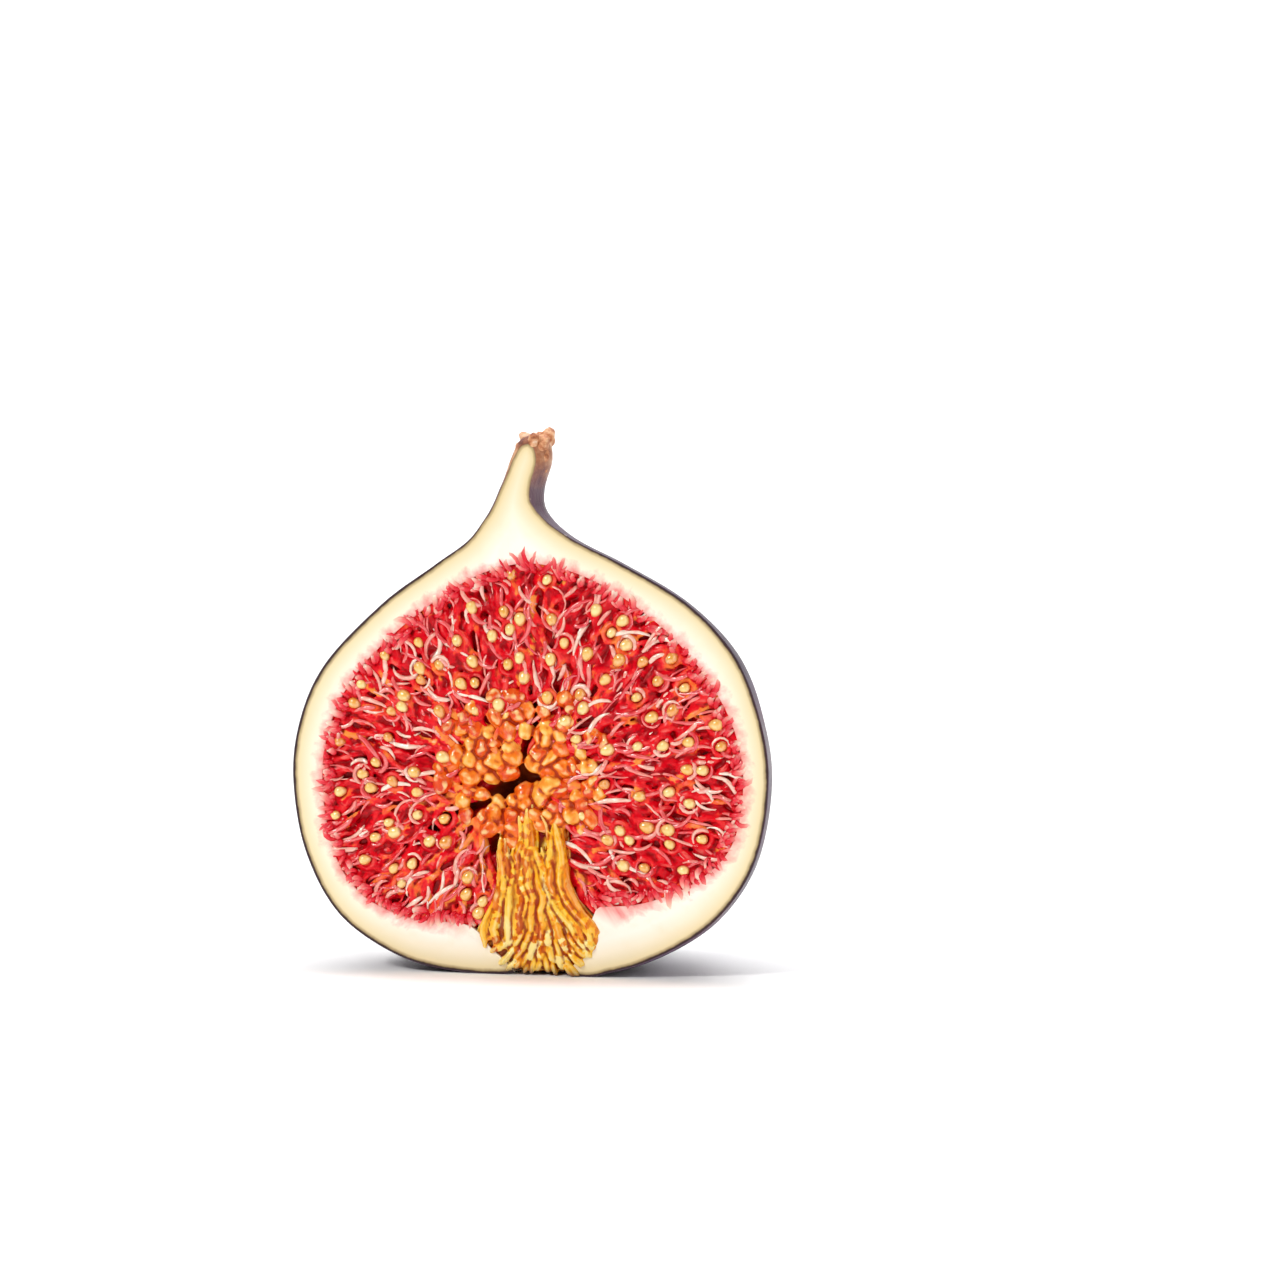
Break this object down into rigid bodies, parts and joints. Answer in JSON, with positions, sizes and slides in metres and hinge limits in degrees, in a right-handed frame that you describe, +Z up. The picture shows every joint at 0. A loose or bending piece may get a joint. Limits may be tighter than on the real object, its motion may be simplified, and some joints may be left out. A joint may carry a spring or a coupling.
{
  "type": "fig half",
  "caption": "Half of a ripe purple fig, cut lengthwise and standing on its eye end, showing pale rind, red pulp with seeds and an amber eye.",
  "frame": {"origin": "under the middle of the half fig's bounding box, on the surface that it stands on", "axes": "+Z up along the fruit's axis from the eye to the stalk, +Y from the cut face towards the skin of the back, +X to the right as seen facing the cut"},
  "size_m": [0.0584, 0.0294, 0.0646],
  "materials": {
    "skin_and_rind": "satin purple skin with a pale bloom outside, moist cream rind on the cut",
    "pulp": "wet red florets with golden seeds",
    "eye_scales": "moist amber scales"
  },
  "bodies": {
    "root": {"receptacle": "skin_and_rind", "pulp": "pulp", "eye_scales": "eye_scales"}
  },
  "joints": []
}
